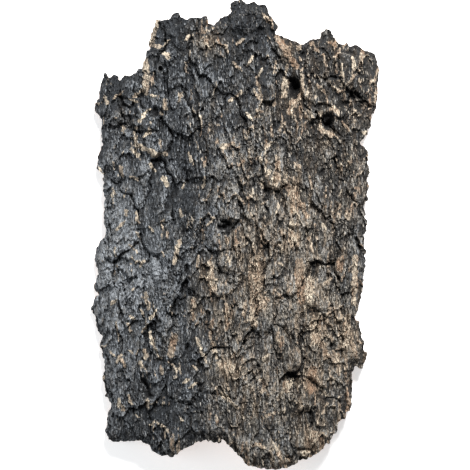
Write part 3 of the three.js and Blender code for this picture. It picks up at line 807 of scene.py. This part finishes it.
def bark_fields(x, y, sizes):
    """Every field of the slab on a grid of points: its edge, its two faces and what colours it."""
    crumbly = 1.3 * noise(x / 6, y / 6, 81) + 0.9 * noise(x / 2.6, y / 2.6, 82)
    inside = depth_inside(x, y) + crumbly
    inward = smooth(inside, 0.0, EDGE_ROLL)
    plates = plate_cells(x, y, sizes)
    proud, covered = flake_height(x, y)
    pits = pit_depth(x, y)
    cracks = crack_depth(x, y)
    checks = cross_cracks(x, y, plates)
    warmth = warmth_of_bark(x, y)
    chips, chip_pale = small_chips(x, y)
    bare, pale = cork_cover(x, y, warmth, chips, chip_pale)
    rows, flake_lips, scale_lips, lip_shade = loose_bark(x, y, covered, warmth, sizes)

    fine = rows + fine_bark(x, y, warmth, bare, sizes)
    fine *= 1.0 - 0.6 * smooth(pits, 1.0, 6.0)
    frayed = noise(x / 9, y / 14, 141) + 0.5 * noise(x / 2.6, y / 4, 142) + 0.7 * warmth
    frayed_lips = smooth(frayed, 0.5, 0.9) * np.maximum(flake_lips, 0.6 * scale_lips)
    bare = np.maximum(bare, 0.85 * frayed_lips)
    fine += CORK_RISE * bare + CHIP_RISE * chips - cracks - CHECK_DEPTH * checks

    lumps = sizes.lump_height / MM * noise(x / LUMP_SIZE, y / LUMP_SIZE, 21)
    form = plate_height(x, y, plates, sizes) + proud + lumps - pits
    bend = MARGIN_THICKNESS + OUTER_RISE * (1.0 - (x / HALF_WIDTH) ** 2)
    rolled = form * (EDGE_RELIEF + (1.0 - EDGE_RELIEF) * inward) - EDGE_DROP * (1.0 - inward)
    top = bend + rolled + fine * (0.7 + 0.3 * inward)

    stand = top - blurred(top, WIDE_BLUR)
    crumb = top - blurred(top, FINE_BLUR)
    # Painted shade: hollow darkens low spots, cracks, cross cracks, pits and the strips under lips, where
    # shade falls, and hides bare cork there.
    hollow = 0.45 * smooth(-stand, 0.5, 5.0) + 0.45 * smooth(cracks, 0.6, 3.0) + 0.4 * checks + lip_shade
    hollow = np.clip(np.maximum(hollow, smooth(pits, 1.6, 6.5)), 0.0, 1.0)
    lips = np.maximum(flake_lips, 0.7 * scale_lips)
    slope_y, slope_x = np.gradient(inside, y[:, 0], x[0, :])
    steep = np.maximum(LEAST_SLOPE, slope_x ** 2 + slope_y ** 2)
    return {
        "inside": inside,
        "out_x": -slope_x / steep,
        "out_y": -slope_y / steep,
        "top": top,
        "base": inner_height(x, y),
        "bare": bare * (1.0 - 0.8 * hollow),
        "pale": pale,
        "hollow": hollow,
        # Painted highlight, partly weathering: lighter on raised spots, on crumb tips and on the lips of
        # flakes and scales.
        "worn": 0.45 * smooth(stand, -2.5, 3.5) + 0.25 * smooth(crumb, -0.6, 0.8) + 0.3 * lips,
        "tone": patches(x, y, TONE_PATCHES) + 0.45 * noise(x / 9, y / 17, 85) - 0.0013 * y - 0.0006 * x,
        "warmth": warmth,
    }


def grid_sheet(sizes):
    """A flat sheet of squares over the slab's box, as a bmesh with its points in millimetres."""
    width = 2 * (HALF_WIDTH + GRID_OVERHANG)
    depth = 2 * (HALF_LENGTH + GRID_OVERHANG)
    columns = round(width / (sizes.grid_across / MM))
    rows = round(depth / (sizes.grid_along / MM))
    sheet = bmesh.new()
    bmesh.ops.create_grid(sheet, x_segments=columns, y_segments=rows, size=0.5)
    bmesh.ops.scale(sheet, vec=(width, depth, 1.0), verts=sheet.verts)
    return sheet, columns + 1, rows + 1


def write_layers(sheet, fields):
    """Keep each field on the sheet's points, so that it follows them through every later step."""
    for name, values in fields.items():
        layer = sheet.verts.layers.float.new(name)
        for vertex, value in zip(sheet.verts, values.ravel().tolist()):
            vertex[layer] = value


def trim_to_outline(sheet):
    """Delete what lies outside the outline and draw the ragged border onto it."""
    inside, out_x, out_y = (sheet.verts.layers.float[name] for name in ("inside", "out_x", "out_y"))
    outside = [face for face in sheet.faces if sum(vertex[inside] for vertex in face.verts) < 0.0]
    bmesh.ops.delete(sheet, geom=outside, context="FACES")
    for vertex in sheet.verts:
        if vertex.is_boundary:
            depth = vertex[inside]
            vertex.co.x += min(max(depth * vertex[out_x], -BORDER_REACH), BORDER_REACH)
            vertex.co.y += min(max(depth * vertex[out_y], -BORDER_REACH), BORDER_REACH)


def thicken(sheet):
    """Close the sheet into a slab: a raised copy of it, and walls between with rings of points on them."""
    level = sheet.verts.layers.float.new(LEVEL)
    raised = bmesh.ops.extrude_face_region(sheet, geom=sheet.faces[:])["geom"]
    for part in raised:
        if isinstance(part, bmesh.types.BMVert):
            part[level] = 1.0
    walls = [edge for edge in sheet.edges if edge.verts[0][level] != edge.verts[1][level]]
    bmesh.ops.subdivide_edges(sheet, edges=walls, cuts=WALL_CUTS, use_grid_fill=True)


def read_attribute(mesh, name):
    """The values of a point attribute."""
    values = np.empty(len(mesh.vertices))
    mesh.attributes[name].data.foreach_get("value", values)
    return values


def raise_faces(mesh):
    """Set each point's height from its level between the faces, roughen the walls and scale to metres."""
    count = len(mesh.vertices)
    places = np.empty(count * 3)
    mesh.vertices.foreach_get("co", places)
    places = places.reshape(count, 3)
    level, top, base, out_x, out_y = (
        read_attribute(mesh, name) for name in (LEVEL, "top", "base", "out_x", "out_y")
    )
    places[:, 2] = base + np.maximum(top - base, LEAST_THICKNESS) * level
    wall = np.minimum(1.0, 6.0 * level * (1.0 - level))
    around = places[:, 0] + places[:, 1]
    across = places[:, 0] - places[:, 1]
    ledge = noise(around / 26 + across / 90, places[:, 2] / 3.2, 91) + noise(around / 7, across / 7, 92)
    crumbs = noise(around / 2.6, places[:, 2] / 2.2, 93)
    shift = wall * (WALL_LEDGE * ledge + WALL_CRUMB * crumbs - WALL_INSET)
    places[:, 0] += shift * np.clip(out_x, -1.0, 1.0)
    places[:, 1] += shift * np.clip(out_y, -1.0, 1.0)
    mesh.vertices.foreach_set("co", (places * MM).ravel())
    mesh.update()


def thin_underside(piece):
    """Merge small faces of the smooth inner face, which needs far fewer than the bark does."""
    group = piece.vertex_groups.new(name="underside")
    level = read_attribute(piece.data, LEVEL)
    group.add(np.flatnonzero(level < 0.001).tolist(), 1.0, "REPLACE")
    thin = piece.modifiers.new("Thin underside", "DECIMATE")
    thin.ratio = 1.0 - 0.5 * (1.0 - UNDERSIDE_KEPT)
    thin.vertex_group = group.name
    bpy.context.view_layer.objects.active = piece
    bpy.ops.object.modifier_apply(modifier=thin.name)
    piece.vertex_groups.clear()


def facet_bark(mesh):
    """Shade the broken bark in facets and the inner face smooth."""
    level = read_attribute(mesh, LEVEL)
    for face in mesh.polygons:
        face.use_smooth = min(level[corner] for corner in face.vertices) < 0.5


class Field:
    """A value in a material, with arithmetic that adds Math nodes."""

    def __init__(self, paint, socket):
        self.paint = paint
        self.socket = socket

    def sibling(self, output):
        """Another output of the same node."""
        return Field(self.paint, self.socket.node.outputs[output])

    def math(self, operation, first, second):
        """A Math node on two values."""
        return self.paint.add("ShaderNodeMath", {"operation": operation}, {0: first, 1: second})

    def __add__(self, other):
        return self.math("ADD", self, other)

    def __radd__(self, other):
        return self.math("ADD", other, self)

    def __sub__(self, other):
        return self.math("SUBTRACT", self, other)

    def __rsub__(self, other):
        return self.math("SUBTRACT", other, self)

    def __mul__(self, other):
        return self.math("MULTIPLY", self, other)

    def __rmul__(self, other):
        return self.math("MULTIPLY", other, self)

    def ramp(self, low, high):
        """Smooth step from 0 at low to 1 at high."""
        values = {"Value": self, "From Min": low, "From Max": high}
        return self.paint.add("ShaderNodeMapRange", {"interpolation_type": "SMOOTHSTEP"}, values)


class Paint:
    """A material and the nodes that are added to it."""

    def __init__(self, name):
        self.material = bpy.data.materials.new(name)
        self.material.use_nodes = True
        self.tree = self.material.node_tree
        self.tree.nodes.clear()

    def add(self, kind, settings, inputs, output=0):
        """Add a node with its settings and the values or links of its sockets, and give one output."""
        node = self.tree.nodes.new(kind)
        for name, value in settings.items():
            setattr(node, name, value)
        for key, value in inputs.items():
            socket = node.inputs[key]
            if isinstance(value, Field):
                self.tree.links.new(value.socket, socket)
            elif isinstance(socket.default_value, bpy.types.bpy_prop_array) and len(value) == 3:
                socket.default_value = (*value, 1.0)[: len(socket.default_value)]
            else:
                socket.default_value = value
        return Field(self, node.outputs[output]) if node.outputs else None

    def attribute(self, name):
        """A value kept on the mesh's points."""
        settings = {"attribute_name": name, "attribute_type": "GEOMETRY"}
        return self.add("ShaderNodeAttribute", settings, {}, "Fac")

    def stretched(self, across, along, up):
        """Object coordinates counted in swells of the given sizes, in millimetres."""
        place = self.add("ShaderNodeTexCoord", {}, {}, "Object")
        scale = (1 / (across * MM), 1 / (along * MM), 1 / (up * MM))
        return self.add("ShaderNodeMapping", {}, {"Vector": place, "Scale": scale})

    def noise(self, across, along, up, detail=2.0, roughness=0.5):
        """Noise from about 0 to 1, with swells of the given sizes, in millimetres."""
        place = self.stretched(across, along, up)
        values = {"Vector": place, "Scale": 1.0, "Detail": detail, "Roughness": roughness}
        return self.add("ShaderNodeTexNoise", {}, values, "Fac")

    def chips(self, across, along, up):
        """Chips of the given sizes that lean every way: each point's height, and each chip's two draws."""
        place = self.stretched(across, along, up)
        values = {"Vector": place, "Scale": 0.7, "Detail": 2.0}
        shift = self.add("ShaderNodeTexNoise", {}, values, "Color")
        bent = self.vector("MULTIPLY_ADD", shift, (CHIP_WANDER, CHIP_WANDER, CHIP_WANDER), place)
        cell = self.add("ShaderNodeTexVoronoi", {}, {"Vector": bent, "Scale": 1.0}, "Position")
        draws = self.vector("SUBTRACT", cell.sibling("Color"), (0.5, 0.5, 0.5))
        lean = self.vector("DOT_PRODUCT", self.vector("SUBTRACT", bent, cell), draws).sibling("Value")
        tone = self.add("ShaderNodeSeparateColor", {}, {"Color": cell.sibling("Color")}, "Red")
        return lean, tone, tone.sibling("Green")

    def vector(self, operation, *operands):
        """Arithmetic on vectors."""
        return self.add("ShaderNodeVectorMath", {"operation": operation}, dict(enumerate(operands)))

    def mix(self, share, first, second):
        """Blend of two colours."""
        values = {0: share, 6: first, 7: second}
        return self.add("ShaderNodeMix", {"data_type": "RGBA", "clamp_factor": True}, values, 2)

    def bump(self, strength, distance, height):
        """A normal that follows a height, in a relief of the given depth in millimetres."""
        values = {"Strength": strength, "Distance": distance * MM, "Height": height}
        return self.add("ShaderNodeBump", {}, values)

    def finish(self, base, roughness, normal, glow=0.0):
        """Close the material with a plain dielectric surface, which may glow evenly."""
        values = {
            "Base Color": base, "Roughness": roughness, "Specular IOR Level": SPECULAR, "Normal": normal,
            "Emission Color": (1.0, 1.0, 1.0), "Emission Strength": glow,
        }
        surface = self.add("ShaderNodeBsdfPrincipled", {}, values)
        self.add("ShaderNodeOutputMaterial", {}, {"Surface": surface})
        return self.material


class BarkPattern:
    """What the slab's finishes share: values kept on the mesh, and patterns of chips, fibres and specks."""

    def __init__(self, paint):
        self.warmth = paint.attribute("warmth")
        # Painted shade in crevices, pits and under lips.
        self.hollow = paint.attribute("hollow")
        # Painted highlights on raised spots and lips, partly weathering.
        self.worn = paint.attribute("worn")
        self.tone = paint.attribute("tone")
        self.pale = paint.attribute("pale")
        self.bare = paint.attribute("bare")
        self.level = paint.attribute(LEVEL)
        self.chip, self.chip_tone, self.chip_tint = paint.chips(*BARK_CHIP)
        self.flake, self.flake_tone, self.flake_tint = paint.chips(*BARK_FLAKE)
        self.fibres = paint.noise(1.3, 6.5, 2.0, 1.0).ramp(0.38, 0.64)
        self.fleck = self.chip_tone + (self.fibres - self.chip_tone) * (self.warmth * 0.45 + 0.3)
        self.speck = paint.noise(2.6, 4.2, 3.0, 2.0, 0.6)
        self.blotch = paint.noise(7.0, 16.0, 8.0)


def old_bark(paint, colours, pattern):
    """Dark old bark: specks paled by weather, painted highlights and glints, warm-side brown streaks, a few
    cork crumbs.
    """
    warmth = pattern.warmth
    tint = (pattern.chip_tint + pattern.flake_tint - 1.0) * 0.5 + warmth
    earth = (paint.noise(5.0, 38.0, 8.0, 3.0, 0.6) + tint * 0.2).ramp(0.58, 0.84) * warmth
    dark = paint.mix(earth, paint.mix(tint, colours.charcoal, colours.umber), colours.peat)
    light = paint.mix(earth, paint.mix(tint, colours.ash, colours.straw), colours.earth)
    # Painted glints: sparse bright chips that stand for fibres catching the light.
    glint = pattern.chip_tone.ramp(0.82, 0.96) * (warmth * 0.3 + 0.4)
    specks = pattern.fleck * (1.3 - warmth * 0.55) + glint + pattern.speck * 0.1
    ground = warmth * 0.2 + pattern.flake_tone * 0.15 + pattern.blotch * 0.2
    # Painted highlights on raised spots and lips, and the glints, lighten the bark along with its specks
    # and tone.
    weathered_and_highlit = specks + ground + pattern.worn * 0.9 + pattern.tone * 0.5
    bark = paint.mix(weathered_and_highlit.ramp(0.88, 2.08), dark, light)
    # Pale cork crumbs in the palest chips, which also serve as painted glints.
    crumbs = pattern.chip_tone.ramp(0.96, 0.98) * (warmth * 0.4 + 0.08)
    return paint.mix(crumbs, bark, colours.cream)


def bare_cork(paint, colours, pattern):
    """Cork where bark has flaked off: tan or rusty, greyer on the cool side, cream where it is palest."""
    grain = paint.noise(1.6, 10.0, 3.0)
    specks = pattern.fleck * 0.5 + pattern.speck * 0.5
    shade = specks + pattern.pale * 0.7 + grain * 1.1 + pattern.worn * 0.4
    reddened = paint.mix(pattern.flake_tint * 0.5, colours.tan, colours.rust)
    old = paint.mix(pattern.warmth + pattern.flake_tint - 0.45, colours.bleached, reddened)
    return paint.mix((shade - 1.2).ramp(0.0, 1.1), old, colours.cream)


def outer_face(paint, colours, pattern):
    """Old bark, bare cork where it shows, and painted shade in cracks, pits and under lips."""
    bare = pattern.bare * pattern.level.ramp(0.6, 1.0)
    shown = bare * 1.1 + pattern.fleck * 0.5 + pattern.speck * 0.8 + pattern.worn * 0.3 - 1.0
    bark = old_bark(paint, colours, pattern)
    coated = paint.mix(shown.ramp(0.2, 0.8), bark, bare_cork(paint, colours, pattern))
    # Painted shade: the near-black crevice colour where hollow is high, and dark specks where specks and
    # raised spots are few.
    depth = pattern.hollow + 0.8 - pattern.fleck * 0.3 - pattern.speck * 0.9 - pattern.worn * 0.3
    return paint.mix(depth.ramp(0.2, 1.0) * 0.88, coated, colours.crevice_shade)


def inner_face(paint, colours, pattern):
    """The smooth face that lay against the trunk, with grain and dark dashes: its colour and relief."""
    grain = paint.noise(2.2, 30.0, 8.0, 4.0, 0.6)
    blotch = paint.noise(22.0, 40.0, 30.0, 3.0, 0.6)
    dashes = paint.noise(1.5, 9.0, 3.0).ramp(0.62, 0.72)
    shade = grain * 0.7 + blotch * 0.6 + pattern.speck * 0.2
    plain = paint.mix(shade.ramp(0.5, 0.95), colours.inner, colours.inner_pale)
    relief = grain * 0.5 - dashes * 0.4 + pattern.speck * 0.2
    return paint.mix(dashes * 0.75, plain, colours.peat), relief


def broken_edge(paint, colours, pattern):
    """Cork on the broken edge, in growth layers with dark pores."""
    layers = paint.noise(34.0, 34.0, 1.3, 2.0, 0.6) * 0.8 + pattern.speck * 0.5
    pores = paint.noise(1.8, 1.8, 3.2, 1.0).ramp(0.6, 0.7)
    layered = paint.mix(layers.ramp(0.45, 0.85), colours.broken, colours.broken_pale)
    return paint.mix(pores * 0.8, layered, colours.peat)


def bark_paint(colours):
    """The slab's finish: its outer face, the broken edge around it and the inner face below."""
    paint = Paint("cork bark")
    pattern = BarkPattern(paint)
    outer = outer_face(paint, colours, pattern)
    inner, inner_relief = inner_face(paint, colours, pattern)
    weather = (pattern.level + pattern.blotch * 1.2 + pattern.speck * 0.4 - 0.93).ramp(0.3, 0.55)
    side = paint.mix(weather, broken_edge(paint, colours, pattern), outer)
    outward = pattern.level.ramp(0.02, 0.2)
    base = paint.mix(outward, inner, side)

    chipped = pattern.chip * (3.0 - pattern.warmth) + pattern.flake * 1.1
    rough = chipped + pattern.speck * 0.3 + pattern.fibres * (pattern.warmth * 1.1 + 0.2)
    relief = inner_relief + (rough - inner_relief) * outward
    return paint.finish(base, 0.78 + pattern.speck * 0.2, paint.bump(1.0, BARK_BUMP, relief))


def floor_paint(stage):
    """A pale matt floor, lit a little from below as a shadowless table is."""
    paint = Paint("pale floor")
    cloud = paint.noise(FLOOR_CLOUD, FLOOR_CLOUD, FLOOR_CLOUD)
    darker = tuple(0.97 * channel for channel in stage.floor)
    base = paint.mix(cloud, stage.floor, darker)
    return paint.finish(base, 0.6, paint.bump(0.02, 1.0, cloud), stage.floor_glow)


def add_object(name, data):
    """Put new data in the scene."""
    item = bpy.data.objects.new(name, data)
    bpy.context.scene.collection.objects.link(item)
    return item


class CORKBARK_OT_slab(bpy.types.Operator):
    """Model the slab of bark and give it its finish"""

    bl_idname = "corkbark.slab"
    bl_label = "Bark slab"

    def execute(self, context):
        sizes = context.scene.cork_bark_sizes
        sheet, columns, rows = grid_sheet(sizes)
        x = np.array([vertex.co.x for vertex in sheet.verts]).reshape(rows, columns)
        y = np.array([vertex.co.y for vertex in sheet.verts]).reshape(rows, columns)
        write_layers(sheet, bark_fields(x, y, sizes))
        trim_to_outline(sheet)
        thicken(sheet)
        bmesh.ops.recalc_face_normals(sheet, faces=sheet.faces)

        mesh = bpy.data.meshes.new(PIECE)
        sheet.to_mesh(mesh)
        sheet.free()
        raise_faces(mesh)
        slab = add_object(PIECE, mesh)
        thin_underside(slab)
        for name in SHAPE_FIELDS:
            mesh.attributes.remove(mesh.attributes[name])
        mesh.materials.append(bark_paint(context.scene.cork_bark_colours))
        facet_bark(mesh)
        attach(slab, BODY)
        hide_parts(NODE)
        return {"FINISHED"}


def add_light(name, place, size, power, tint):
    """A soft square light that points at the slab."""
    lamp = bpy.data.lights.new(name, "AREA")
    lamp.size = size
    lamp.energy = power
    lamp.color = tint
    item = add_object(name, lamp)
    item.location = place
    item.rotation_euler = item.location.to_track_quat("Z", "Y").to_euler()


class CORKBARK_OT_stage(bpy.types.Operator):
    """Lay the floor, hang the lights and set the camera straight above the slab"""

    bl_idname = "corkbark.stage"
    bl_label = "Studio"

    def execute(self, context):
        stage = context.scene.cork_bark_stage
        ground = bmesh.new()
        bmesh.ops.create_grid(ground, x_segments=1, y_segments=1, size=FLOOR_HALF_SIZE)
        mesh = bpy.data.meshes.new("studio_floor")
        ground.to_mesh(mesh)
        ground.free()
        mesh.materials.append(floor_paint(stage))
        add_object("studio_floor", mesh)

        add_light("key", KEY_PLACE, KEY_SIZE, stage.key_power, KEY_TINT)
        add_light("fill", FILL_PLACE, FILL_SIZE, stage.fill_power, FILL_TINT)
        world = bpy.data.worlds.new("studio")
        world.use_nodes = True
        background = world.node_tree.nodes["Background"]
        background.inputs["Color"].default_value = SKY_TINT
        background.inputs["Strength"].default_value = stage.sky
        context.scene.world = world
        context.scene.view_settings.view_transform = "Standard"

        camera = bpy.data.cameras.new("camera")
        reach = stage.camera_height - stage.edge_level
        camera.lens = camera.sensor_width * reach / (stage.image_width * stage.pixel)
        viewer = add_object("camera", camera)
        viewer.location = (0.0, 0.0, stage.camera_height)
        context.scene.camera = viewer
        return {"FINISHED"}


class CORKBARK_PT_panel(bpy.types.Panel):
    """The bark's operators and settings"""

    bl_idname = "CORKBARK_PT_panel"
    bl_label = "Cork bark"
    bl_space_type = "VIEW_3D"
    bl_region_type = "UI"
    bl_category = "Cork bark"

    def draw(self, context):
        layout = self.layout
        for operator in (CORKBARK_OT_slab, CORKBARK_OT_stage):
            layout.operator(operator.bl_idname)
        for settings in GROUPS:
            group = getattr(context.scene, settings)
            box = layout.box()
            for name in group.__annotations__:
                box.prop(group, name)


GROUPS = {
    "cork_bark_sizes": BarkSizes,
    "cork_bark_colours": BarkColours,
    "cork_bark_stage": StageSettings,
}
CLASSES = (*GROUPS.values(), CORKBARK_OT_slab, CORKBARK_OT_stage, CORKBARK_PT_panel)


def register():
    for item in CLASSES:
        bpy.utils.register_class(item)
    for name, group in GROUPS.items():
        setattr(bpy.types.Scene, name, bpy.props.PointerProperty(type=group))


def unregister():
    for name in GROUPS:
        delattr(bpy.types.Scene, name)
    for item in reversed(CLASSES):
        bpy.utils.unregister_class(item)


def main():
    register()
    bpy.ops.corkbark.slab()
    bpy.ops.corkbark.stage()


if __name__ == "__main__":
    main()
